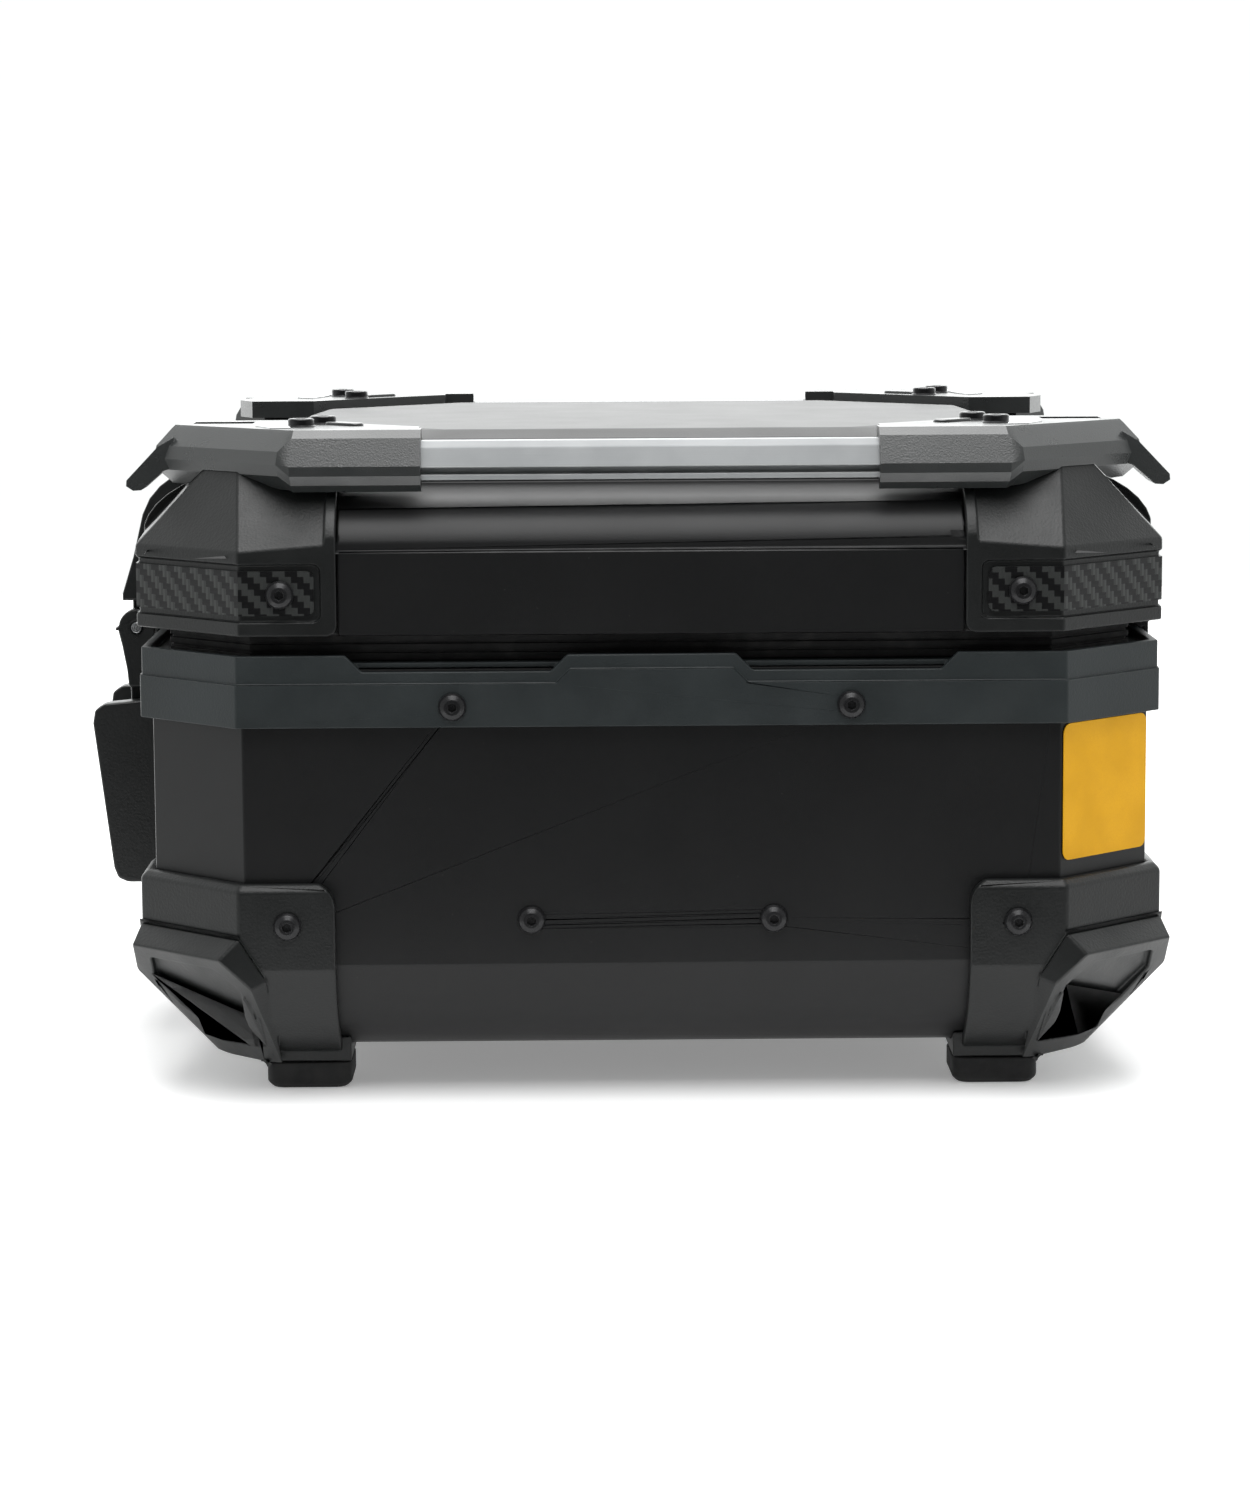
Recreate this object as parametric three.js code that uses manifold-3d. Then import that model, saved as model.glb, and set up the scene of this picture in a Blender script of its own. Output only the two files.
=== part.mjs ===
// Motorcycle top case: a box with 45 degree corners, a hinged lid, armoured corners and a luggage rail.
// Millimetres, +Z up. X runs from the latch (-X) to the hinges (+X). The origin is the centre of the
// underside of the floor, and the rubber feet reach below it.
import * as THREE from "three";
import { ConvexGeometry } from "three/addons/geometries/ConvexGeometry.js";
import { mergeVertices } from "three/addons/utils/BufferGeometryUtils.js";
import Module from "manifold-3d";

const wasm = await Module();
wasm.setup();

// ---- Driving dimensions ----
const HALF_X = 215; // half width of the box between its side faces
const HALF_Y = 193; // half depth of the box between its front and rear faces
const CORNER = 42; // each 45 degree corner takes this much off both faces
const WALL = 2; // sheet thickness of body and lid
const GAP = 0.3; // clearance between pieces that touch

// Heights of the body
const SHELL_TOP = 171;
const CREASE_Z = 44; // where the flat walls end and the tuck begins
const TUCK_START = THREE.MathUtils.degToRad(18); // lean of the tuck just below the crease
const TUCK_STEPS = 7;
const GUARD_TOP = 80;
const PAD_Z = -3.5; // underside of the corner guards
const FOOT_Z = -15.5;
const PLATEAU = { x: 125, y: 105, step: 0.6 }; // raised middle of the underside, which lies on a rack

// Rim frame round the mouth of the body
const RIM_OUT = 5;
const RIM_Z0 = 146.5;
const RIM_Z1 = 177;
const RIM_LOW_Z = 170;
const RIM_STEP_Z = 165;
const RIM_STEP_TAB_Z = 171;
const RIM_STEP_IN = 0.8;
const RIM_TAB_X = 34.5; // half width of the raised tab at its top
const RIM_DIP_X = [42.5, 122]; // span of each lowered stretch, along its bottom
const FLANGE_Z = [SHELL_TOP + GAP, 173.5];
const FLANGE_IN = -16;

// Seal and lid lip
const SEAL_Z = [FLANGE_Z[1] + GAP, 184.8];
const SEAL_OFF = [-8, -15];
const LIP_Z = [SEAL_Z[1] + 1, 189];
const LIP_SKIRT_OFF = [-15.6, -18];
const LIP_SKIRT_Z = 178;

// Lid
const LID_Z0 = 185.5;
const BAND_OUT = 4;
const BAND_TOP = 221;
const SHOULDER_OUT = 2.5;
const SHOULDER_RUN = 44;
const SHOULDER_RISE = 25;
const SHOULDER_STEPS = 9;
const CROWN = [
  { x: 168, y: 147, z: 240 },
  { x: 166, y: 145, z: 255 },
  { x: 161, y: 140, z: 264.5 },
  { x: 150, y: 129, z: 268.3 },
  { x: 60, y: 50, z: 269 },
];
const CROWN_CORNER = 62;

// Corner guards of the lid: a flat band, then 45 degree facets
const LID_GUARD_OUT = 6;
const LID_DIAGONAL_OUT = 4.4; // the same across the corner
const FACET_SLOPE = 0.943; // inset per unit of height
const DIAGONAL_SLOPE = 0.63; // inset of the steeper facet across the corner
const FACET_KNEE = 0.397; // rise of the knee for each millimetre that the form grows outwards
const FACET_Z0 = 220.9; // height of the knee at the corner
const FACET_TILT = 0.08; // rise of the knee along each face, away from the corner
const FACET_TOP = 255.4;
const LID_GUARD_T = 3; // guard thickness over the sheet
const LID_TAB_X = 131.8; // inner end of the lid guards on the front and rear faces
const LID_TAB_Y = LID_TAB_X - HALF_X + HALF_Y; // the same on the side faces
const LID_TAB_RADIUS = 4;
const RIB = 4.8;
const RIB_OUT = 4.5;
const TRIM_X = 138.8;
const TRIM_Z = [191.6, 215.6];
const TRIM_T = 1;
const TRIM_BORDER = 2.6; // width of the recess left showing round the trim

// Lower corner guards
const TAB_X = 134.6; // inner end of the guards on the front and rear faces
const TAB_Y = TAB_X - HALF_X + HALF_Y; // the same on the side faces
const GUARD_OUT = 6.3;
const GUARD_BEVEL = 3;
const TAB_RADIUS = 11;
const ARMOUR = [
  // half of the outline of each corner's armour, mirrored across the 45 degree axis
  [184, 203, 48.5],
  [170.2, 202.7, 35.5],
  [166, 164.3, PAD_Z],
  [175.5, 199.5, 57],
  [163.5, 199.3, 38],
  [160, 168, PAD_Z],
];
const ARMOUR_FACE = 3; // the first points bound the flat outer face
const RECESS_SCALE = 0.74;
const RECESS_DEPTH = 2.5;
const FOOT = { x: 149, y: 145, size: 37, radius: 6, bevel: 2.5 };

// Luggage rail
const RAIL_FRONT = 191; // plane of its outer faces, from the centre
const RAIL_DEPTH = 23;
const RAIL_SECTION = {
  // distance in from the outer edge, height; point by point the two sections blend into each other
  front: [
    [8.5, 271],
    [6.5, 269.1],
    [5, 267.7],
    [0, 256],
    [0.3, 252],
    [2.6, 248],
    [7, 245],
    [16, 245],
    [RAIL_DEPTH, 251],
    [RAIL_DEPTH, 271],
  ],
  corner: [
    [9.5, 271],
    [8, 269.6],
    [1.4, 262.3],
    [0, 256.8],
    [0.8, 254.3],
    [1.5, 252],
    [8, 246],
    [14, 245],
    [RAIL_DEPTH, 251],
    [RAIL_DEPTH, 271],
  ],
};
// Outer edge of a corner piece in plan, with a small facet between its straight and its 45 degree run.
const RAIL_PLAN = {
  front: [
    [96.5, RAIL_FRONT],
    [151.6, RAIL_FRONT],
    [157.4, 188.6],
    [214.5, 131.5],
    [214.5, 98],
  ],
  rear: [
    [84, RAIL_FRONT],
    [151.6, RAIL_FRONT],
    [157.4, 188.6],
    [203, 143],
  ],
};
// Plan of the plate between a corner piece's two runs
const WEB = {
  front: [
    [98, 175],
    [98, 156],
    [160, 94],
    [200, 94],
    [200, 122],
    [147, 175],
  ],
  rear: [
    [98, 175],
    [98, 156],
    [160, 94],
    [190, 94],
    [197, 110],
    [197, 125],
    [147, 175],
  ],
};
const WEB_Z = [263, 271];
const STRAP_SLOT = { x: [172, 198], y: [106, 122] };
const BAR_SECTION = [
  // distance in from the rail's outer edge, height
  [9, 266.2],
  [18.5, 266.2],
  [20, 264.5],
  [20, 251.5],
  [18.5, 249.9],
  [4.2, 249.9],
  [3, 255.2],
  [6.4, 263.6],
];
const BAR_GROOVE = { depth: 9, z: [252.3, 255.2] };
const BAR_HALF = 132;
const SOCKET_X = [80, 133]; // the hole for the bar, open towards the middle of the case
const POST = { at: [156, 134], radius: 8 }; // leg under each corner piece
const EAR = [
  [205, 266],
  [212, 262],
  [225.8, 247.5],
  [226, 245],
  [223, 243],
  [219.5, 243.2],
  [210, 251.4],
  [205, 253],
];
const EAR_Y = [114, 137];

// Screws
const SCREW = { head: 6, rise: 3.2, shank: 2.5, socket: 2.1, length: 10, sides: 20 };
const HOLE = SCREW.shank + 0.35;
const PANEL_SCREW = [51.5, 63.3];
const RIM_SCREW = [84, 155.2];
const GUARD_SCREW = [154.8, 62.2];
const TRIM_SCREW = [155.8, 203];

// Latch on the -X side
const PIVOT = [-234, 173.5];
const PIN_R = 2.5;
const EAR_R = 8.5;
const LUG_R = 7.6;
const HASP_HALF = 30;
const EAR_SPAN = [24.2, 36];
const HOUSING_HALF = 42;
const CHANNEL_Z = 98;
const LOCK = { z: 78, radius: 10, x: [-249.5, -224] };
const BOLT = { x: [-235.2, -230.4], y: 7, z: [88.6, 97.6] };

// Hinges on the +X side
const HINGE_AXIS = [219, 181.2];
const HINGE_R = 3.9;
const HINGE_PIN_R = 1.6;
const HINGE_Y = 74;
const HINGE_HALF = 26;

// ---- Solid helpers ----
// A closed mesh as a manifold solid.
function solid(geometry) {
  const bare = geometry.clone();
  bare.deleteAttribute("normal");
  bare.deleteAttribute("uv");
  const merged = mergeVertices(bare, 1e-4);
  const vertProperties = new Float32Array(merged.attributes.position.array);
  const triVerts = new Uint32Array(merged.index.array);
  return new wasm.Manifold(new wasm.Mesh({ numProp: 3, vertProperties, triVerts }));
}

// A manifold solid as flat-shaded geometry.
function geometryOf(shape) {
  const mesh = shape.getMesh();
  const indexed = new THREE.BufferGeometry();
  indexed.setAttribute("position", new THREE.BufferAttribute(new Float32Array(mesh.vertProperties), 3));
  indexed.setIndex(new THREE.BufferAttribute(new Uint32Array(mesh.triVerts), 1));
  const flat = indexed.toNonIndexed();
  flat.computeVertexNormals();
  return flat;
}

// Welds vertices that lie closer than a micrometre and keeps the largest body.
function welded(shape) {
  const mesh = shape.getMesh();
  const geometry = new THREE.BufferGeometry();
  geometry.setAttribute("position", new THREE.BufferAttribute(new Float32Array(mesh.vertProperties), 3));
  geometry.setIndex(new THREE.BufferAttribute(new Uint32Array(mesh.triVerts), 1));
  const bodies = solid(mergeVertices(geometry, 1e-3)).decompose();
  return bodies.reduce((main, body) => (body.volume() > main.volume() ? body : main));
}

function hull(points) {
  return solid(new ConvexGeometry(points.map((p) => new THREE.Vector3(...p))));
}

function outline(points) {
  return new THREE.Shape(points.map(([u, v]) => new THREE.Vector2(u, v)));
}

// An outline swept along one axis: its own two coordinates go to the other two axes.
function prism(points, axis, from, to) {
  const geometry = new THREE.ExtrudeGeometry(outline(points), { depth: to - from, bevelEnabled: false });
  const X = new THREE.Vector3(1, 0, 0);
  const Y = new THREE.Vector3(0, 1, 0);
  const Z = new THREE.Vector3(0, 0, 1);
  if (axis === "x") {
    geometry.applyMatrix4(new THREE.Matrix4().makeBasis(Y, Z, X));
    geometry.translate(from, 0, 0);
  } else if (axis === "y") {
    geometry.applyMatrix4(new THREE.Matrix4().makeBasis(X, Z, Y.clone().negate()));
    geometry.translate(0, to, 0);
  } else {
    geometry.translate(0, 0, from);
  }
  return solid(geometry);
}

function box(x, y, z) {
  const geometry = new THREE.BoxGeometry(x[1] - x[0], y[1] - y[0], z[1] - z[0]);
  geometry.translate((x[0] + x[1]) / 2, (y[0] + y[1]) / 2, (z[0] + z[1]) / 2);
  return solid(geometry);
}

// A round bar between two points of one axis, centred on `at` in the other two.
function rod(axis, at, span, radius, sides = 16) {
  const geometry = new THREE.CylinderGeometry(radius, radius, span[1] - span[0], sides);
  const middle = (span[0] + span[1]) / 2;
  if (axis === "x") {
    geometry.rotateZ(Math.PI / 2);
    geometry.translate(middle, at[0], at[1]);
  } else if (axis === "y") {
    geometry.translate(at[0], middle, at[1]);
  } else {
    geometry.rotateX(Math.PI / 2);
    geometry.translate(at[0], at[1], middle);
  }
  return solid(geometry);
}

// A copy of a solid whose every vertex [x, y, z] is replaced by `place` of it.
function replaced(shape, place, flip = false) {
  const mesh = shape.getMesh();
  const vertProperties = new Float32Array(mesh.vertProperties);
  for (let i = 0; i < vertProperties.length; i += 3) {
    vertProperties.set(place(vertProperties.slice(i, i + 3)), i);
  }
  const triVerts = new Uint32Array(mesh.triVerts);
  if (flip) {
    for (let i = 0; i < triVerts.length; i += 3) {
      [triVerts[i + 1], triVerts[i + 2]] = [triVerts[i + 2], triVerts[i + 1]];
    }
  }
  return new wasm.Manifold(new wasm.Mesh({ numProp: 3, vertProperties, triVerts }));
}

function moved(shape, dx, dy, dz) {
  return replaced(shape, ([x, y, z]) => [x + dx, y + dy, z + dz]);
}

// A solid mirrored into another quarter of the case.
function mirrored(shape, sx, sy) {
  return replaced(shape, ([x, y, z]) => [x * sx, y * sy, z], sx * sy < 0);
}

// A closed body through cross sections that are convex and have as many points each.
function loft(sections) {
  const count = sections[0].length;
  const index = [];
  for (let ring = 0; ring + 1 < sections.length; ring++) {
    for (let i = 0; i < count; i++) {
      const a = ring * count + i;
      const b = ring * count + ((i + 1) % count);
      index.push(a, a + count, b, b, a + count, b + count);
    }
  }
  const last = (sections.length - 1) * count;
  for (let i = 1; i + 1 < count; i++) {
    index.push(0, i, i + 1, last, last + i + 1, last + i);
  }
  const geometry = new THREE.BufferGeometry();
  geometry.setAttribute("position", new THREE.Float32BufferAttribute(sections.flat(2), 3));
  geometry.setIndex(index);
  return solid(geometry);
}

// ---- Plan outlines ----
// The eight plan corners of a rectangle with 45 degree corners, at one height.
function ring(halfX, halfY, corner, z) {
  const points = [];
  for (const sx of [-1, 1]) {
    for (const sy of [-1, 1]) {
      points.push([sx * (halfX - corner), sy * halfY, z]);
      points.push([sx * halfX, sy * (halfY - corner), z]);
    }
  }
  return points;
}

// The box outline moved out by `off` on all eight faces.
function caseRing(off, z) {
  const shrink = off * (1 - Math.tan(Math.PI / 8));
  return ring(HALF_X + off, HALF_Y + off, CORNER + shrink, z);
}

function stack(levels) {
  return hull(levels.flatMap(({ off, z }) => caseRing(off, z)));
}

// A band round the case between two offsets and two heights.
function bandRing(out, inside, z0, z1) {
  const outer = stack([{ off: out, z: z0 }, { off: out, z: z1 }]);
  const inner = stack([{ off: inside, z: z0 - 1 }, { off: inside, z: z1 + 1 }]);
  return outer.subtract(inner);
}

// Levels of the body: upright wall, crease and curved tuck, all moved out by `grow`.
function bodyLevels(grow, top) {
  const radius = CREASE_Z / (1 - Math.sin(TUCK_START));
  const levels = [
    { off: grow, z: top },
    { off: grow, z: CREASE_Z },
  ];
  for (let i = 0; i <= TUCK_STEPS; i++) {
    const a = THREE.MathUtils.lerp(TUCK_START, Math.PI / 2, i / TUCK_STEPS);
    levels.push({
      off: -radius * (Math.cos(TUCK_START) - Math.cos(a)) + grow * Math.cos(a),
      z: CREASE_Z - radius * (Math.sin(a) - Math.sin(TUCK_START)) - grow * Math.sin(a),
    });
  }
  return levels;
}

// Levels of the lid's rounded shoulder, moved out by `grow`, from height `bottom` up.
function shoulderLevels(grow, bottom) {
  const levels = [{ off: SHOULDER_OUT + grow, z: bottom }];
  for (let i = 0; i <= SHOULDER_STEPS; i++) {
    const a = ((i / SHOULDER_STEPS) * Math.PI) / 2;
    levels.push({
      off: SHOULDER_OUT - SHOULDER_RUN * (1 - Math.cos(a)) + grow * Math.cos(a),
      z: BAND_TOP + SHOULDER_RISE * Math.sin(a) + grow * Math.sin(a),
    });
  }
  return levels;
}

// The raised middle of the lid, moved out by `grow`.
function crown(grow) {
  return hull(CROWN.flatMap(({ x, y, z }, i) => {
    const level = i === 0 ? LID_Z0 - 5 : z + grow;
    return ring(x + grow, y + grow, Math.min(CROWN_CORNER, y - 5), level);
  }));
}

// A point mirrored across the vertical plane that halves the 45 degree corner at +X, +Y.
function acrossCorner([x, y, z]) {
  const shift = HALF_X - HALF_Y;
  return [y + shift, x - shift, z];
}

// Faceted form of the lid's corner at +X, +Y, moved out by `grow` and cut level at `top`: three upright
// faces, and above a knee that rises away from the corner, three leaning ones.
function facets(grow, top) {
  const face = HALF_Y + LID_GUARD_OUT + grow;
  const diagonal = HALF_X + HALF_Y - CORNER + Math.SQRT2 * (LID_DIAGONAL_OUT + grow);
  const knee = FACET_Z0 + FACET_KNEE * grow;
  const edge = diagonal - face;
  const innerKnee = knee + FACET_TILT * edge;
  const topFace = face - FACET_SLOPE * (top - innerKnee);
  const topDiagonal = diagonal - Math.SQRT2 * DIAGONAL_SLOPE * (top - knee);
  const lean = FACET_SLOPE * FACET_TILT;
  const topEdge = (topDiagonal - topFace) / (1 - lean);
  const half = [
    [0, face, LID_Z0 - 5],
    [0, face, innerKnee],
    [0, topFace, top],
    [edge, face, LID_Z0 - 5],
    [edge, face, knee],
    [topEdge, topFace - lean * topEdge, top],
  ];
  return hull([...half, ...half.map(acrossCorner)]);
}

// Everything beyond x and y in the corner at +X, +Y.
function cornerBox(x, y, z0, z1) {
  return box([x, 300], [y, 300], [z0, z1]);
}

// A tab outline with one rounded upper inner corner, as [across, height] points.
function tabOutline(inner, z0, z1, radius) {
  const points = [[inner, z0], [300, z0], [300, z1], [inner + radius, z1]];
  const steps = 4;
  for (let i = 1; i <= steps; i++) {
    const a = Math.PI / 2 + ((i / steps) * Math.PI) / 2;
    points.push([inner + radius + radius * Math.cos(a), z1 - radius + radius * Math.sin(a)]);
  }
  return points;
}

// A strip outline with both inner corners rounded.
function stripOutline(inner, z0, z1, radius) {
  const points = [[300, z0], [300, z1]];
  const steps = 3;
  for (const [cz, start] of [[z1 - radius, Math.PI / 2], [z0 + radius, Math.PI]]) {
    for (let i = 0; i <= steps; i++) {
      const a = start + ((i / steps) * Math.PI) / 2;
      points.push([inner + radius + radius * Math.cos(a), cz + radius * Math.sin(a)]);
    }
  }
  return points;
}

// The corner at +X, +Y inside an outline seen from the front and one seen from the side.
function cornerTabs(frontPoints, sidePoints) {
  return prism(frontPoints, "y", 0, 300).intersect(prism(sidePoints, "x", 0, 300));
}

const QUARTERS = [
  { name: "front_left", sx: -1, sy: -1 },
  { name: "front_right", sx: 1, sy: -1 },
  { name: "rear_left", sx: -1, sy: 1 },
  { name: "rear_right", sx: 1, sy: 1 },
];

// Clearance holes for screws driven through the front and rear faces.
function screwHoles([x, z], depth = 20) {
  let holes = null;
  for (const { sx, sy } of QUARTERS) {
    const reach = [HALF_Y - depth, HALF_Y + depth];
    const span = sy > 0 ? reach : [-reach[1], -reach[0]];
    const hole = rod("y", [sx * x, z], span, HOLE, 10);
    holes = holes ? holes.add(hole) : hole;
  }
  return holes;
}

// ---- Body of the case ----
function baseShell() {
  const outer = stack(bodyLevels(0, SHELL_TOP));
  const inner = stack(bodyLevels(-WALL, SHELL_TOP + 10));
  const margin = box([-HALF_X, HALF_X], [-HALF_Y, HALF_Y], [-1, PLATEAU.step])
    .subtract(box([-PLATEAU.x, PLATEAU.x], [-PLATEAU.y, PLATEAU.y], [-2, PLATEAU.step + 1]));
  return outer
    .subtract(inner)
    .subtract(margin)
    .subtract(screwHoles(PANEL_SCREW))
    .subtract(screwHoles(RIM_SCREW))
    .subtract(screwHoles(GUARD_SCREW));
}

// One lowered stretch of the rim's upper edge, as an outline seen from the front.
function dipOutline(side) {
  const [near, far] = RIM_DIP_X;
  const slope = RIM_Z1 - RIM_LOW_Z;
  const points = [
    [near, RIM_LOW_Z],
    [far, RIM_LOW_Z],
    [far + slope + 1, RIM_Z1 + 1],
    [near - slope - 1, RIM_Z1 + 1],
  ];
  return side > 0 ? points : points.map(([x, z]) => [-x, z]).reverse();
}

function rimFrame() {
  const tabFoot = RIM_TAB_X + 7;
  const tab = [
    [-tabFoot, RIM_STEP_Z - 1],
    [tabFoot, RIM_STEP_Z - 1],
    [RIM_TAB_X, RIM_STEP_TAB_Z],
    [-RIM_TAB_X, RIM_STEP_TAB_Z],
  ];
  const skirt = bandRing(RIM_OUT, GAP, RIM_Z0, RIM_Z1);
  const step = bandRing(RIM_OUT + 1, RIM_OUT - RIM_STEP_IN, RIM_STEP_Z, RIM_Z1 + 1)
    .subtract(prism(tab, "y", -HALF_Y - 20, HALF_Y + 20));
  const flange = bandRing(GAP + 1, FLANGE_IN, FLANGE_Z[0], FLANGE_Z[1]);
  let frame = skirt.subtract(step).add(flange);
  for (const side of [-1, 1]) {
    frame = frame.subtract(prism(dipOutline(side), "y", -HALF_Y - 10, -HALF_Y));
    frame = frame.subtract(prism(dipOutline(side), "y", HALF_Y, HALF_Y + 10));
  }
  return frame.subtract(screwHoles(RIM_SCREW));
}

function rimSeal() {
  const [out, inside] = SEAL_OFF;
  const groove = 1.2;
  let seal = bandRing(out, inside, SEAL_Z[0], SEAL_Z[1]);
  for (const z of [177, 180.8]) {
    seal = seal.subtract(bandRing(out + 1, out - groove, z, z + groove));
  }
  return seal;
}

// A flat panel sunk into the armour's outer face.
function armourRecess() {
  const half = ARMOUR.slice(0, ARMOUR_FACE);
  const face = [...half, ...half.map(acrossCorner)].map((p) => new THREE.Vector3(...p));
  const middle = face.reduce((sum, p) => sum.add(p), new THREE.Vector3()).divideScalar(face.length);
  const [a, b] = half.map((p) => new THREE.Vector3(...p));
  const across = new THREE.Vector3(...acrossCorner(half[0])).sub(a);
  const normal = across.cross(b.sub(a)).normalize();
  if (normal.x < 0) normal.negate();
  const inset = face.map((p) => p.clone().sub(middle).multiplyScalar(RECESS_SCALE).add(middle));
  const points = [];
  for (const p of inset) {
    points.push(p.clone().addScaledVector(normal, 4).toArray());
    points.push(p.clone().addScaledVector(normal, -RECESS_DEPTH).toArray());
  }
  return hull(points);
}

function baseGuard() {
  const levels = bodyLevels(GUARD_OUT, GUARD_TOP - GUARD_BEVEL);
  levels.push({ off: GUARD_OUT - GUARD_BEVEL, z: GUARD_TOP });
  const front = tabOutline(TAB_X, PAD_Z, GUARD_TOP + 1, TAB_RADIUS);
  const side = tabOutline(TAB_Y, PAD_Z, GUARD_TOP + 1, TAB_RADIUS);
  const skin = stack(levels).intersect(cornerTabs(front, side));
  const armour = hull([...ARMOUR, ...ARMOUR.map(acrossCorner)]);
  const half = FOOT.size / 2;
  const pad = box([FOOT.x - half, FOOT.x + half], [FOOT.y - half, FOOT.y + half], [PAD_Z, 8]);
  return skin
    .add(armour)
    .add(pad)
    .subtract(stack(bodyLevels(GAP, GUARD_TOP + 20)))
    .subtract(armourRecess())
    .subtract(rod("y", GUARD_SCREW, [HALF_Y - 20, HALF_Y + 20], HOLE, 10));
}

// Plan points of a square with rounded corners.
function roundedSquare(cx, cy, size, radius, z) {
  const points = [];
  const steps = 3;
  for (let corner = 0; corner < 4; corner++) {
    for (let i = 0; i <= steps; i++) {
      const a = ((corner + i / steps) * Math.PI) / 2;
      const sx = corner === 0 || corner === 3 ? 1 : -1;
      const sy = corner < 2 ? 1 : -1;
      points.push([
        cx + sx * (size / 2 - radius) + radius * Math.cos(a),
        cy + sy * (size / 2 - radius) + radius * Math.sin(a),
        z,
      ]);
    }
  }
  return points;
}

function foot() {
  const { x, y, size, radius, bevel } = FOOT;
  return hull([
    ...roundedSquare(x, y, size, radius, PAD_Z - GAP),
    ...roundedSquare(x, y, size, radius, FOOT_Z + bevel),
    ...roundedSquare(x, y, size - 2 * bevel, radius - bevel / 2, FOOT_Z),
  ]);
}

// Reflective sheet on one 45 degree corner, above the guard.
function reflector() {
  const width = 57;
  const z = [87, 145.5];
  const radius = 4;
  const thickness = 0.5;
  const shape = new THREE.Shape();
  const [w, h] = [width / 2, (z[1] - z[0]) / 2];
  shape.moveTo(-w + radius, -h);
  shape.lineTo(w - radius, -h);
  shape.absarc(w - radius, -h + radius, radius, -Math.PI / 2, 0);
  shape.absarc(w - radius, h - radius, radius, 0, Math.PI / 2);
  shape.absarc(-w + radius, h - radius, radius, Math.PI / 2, Math.PI);
  shape.absarc(-w + radius, -h + radius, radius, Math.PI, 1.5 * Math.PI);
  const extrusion = { depth: thickness, bevelEnabled: false, curveSegments: 3 };
  const sheet = new THREE.ExtrudeGeometry(shape, extrusion);
  const root = Math.SQRT1_2;
  const along = new THREE.Vector3(-root, root, 0);
  const up = new THREE.Vector3(0, 0, 1);
  const out = new THREE.Vector3(root, root, 0);
  sheet.applyMatrix4(new THREE.Matrix4().makeBasis(along, up, out));
  const lift = GAP * root;
  sheet.translate(HALF_X - CORNER / 2 + lift, HALF_Y - CORNER / 2 + lift, (z[0] + z[1]) / 2);
  return solid(sheet);
}

// ---- Screws ----
// Button head with a hexagon socket, its axis along Y at [x, z] and its head on the plane y = seat.
function screw([x, z], seat) {
  const { head, rise, shank, socket, length } = SCREW;
  const profile = [
    [0, -length],
    [shank, -length],
    [shank, 0],
    [head, 0],
    [head, 0.5],
    [head * 0.86, rise * 0.62],
    [head * 0.55, rise],
    [0, rise],
  ];
  const body = new THREE.LatheGeometry(profile.map(([r, y]) => new THREE.Vector2(r, y)), SCREW.sides);
  const hex = new THREE.CylinderGeometry(socket, socket, 4, 6);
  hex.translate(0, rise, 0);
  return moved(solid(body).subtract(solid(hex)), x, seat, z);
}

// ---- Lid ----
function lidOuter(grow) {
  const band = stack([
    { off: BAND_OUT + grow, z: LID_Z0 - Math.max(grow, 0) },
    { off: BAND_OUT + grow, z: BAND_TOP - 0.8 + grow },
    { off: BAND_OUT - 0.8 + grow, z: BAND_TOP + grow },
  ]);
  return band.add(stack(shoulderLevels(grow, LID_Z0))).add(crown(grow).intersect(box(
    [-300, 300], [-300, 300], [LID_Z0, 300],
  )));
}

// The parts of the lid form that give way to the four corner guards.
function cornerCuts(margin, grow) {
  const top = BAND_TOP + SHOULDER_RISE;
  const quarter = cornerBox(LID_TAB_X - margin, LID_TAB_Y - margin, LID_Z0 - 10, 300)
    .subtract(facets(grow, FACET_TOP))
    .intersect(box([0, 300], [0, 300], [LID_Z0 - 10, top + 4]));
  let cuts = null;
  for (const { sx, sy } of QUARTERS) {
    const cut = mirrored(quarter, sx, sy);
    cuts = cuts ? cuts.add(cut) : cut;
  }
  return cuts;
}

function lidShell() {
  const outer = lidOuter(0).subtract(cornerCuts(0, -LID_GUARD_T));
  const cavity = stack(shoulderLevels(-WALL, LID_Z0 - 5))
    .add(stack([{ off: BAND_OUT - WALL, z: LID_Z0 - 5 }, { off: BAND_OUT - WALL, z: BAND_TOP - WALL }]))
    .add(crown(-WALL))
    .subtract(cornerCuts(WALL, -LID_GUARD_T - WALL));
  return outer.subtract(cavity).subtract(screwHoles(TRIM_SCREW));
}

function lidLip() {
  const [skirtOut, skirtIn] = LIP_SKIRT_OFF;
  return bandRing(BAND_OUT - WALL - GAP, skirtIn, LIP_Z[0], LIP_Z[1])
    .subtract(cornerCuts(WALL + GAP, -LID_GUARD_T - WALL - GAP))
    .add(bandRing(skirtOut, skirtIn, LIP_SKIRT_Z, LIP_Z[1]));
}

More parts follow.
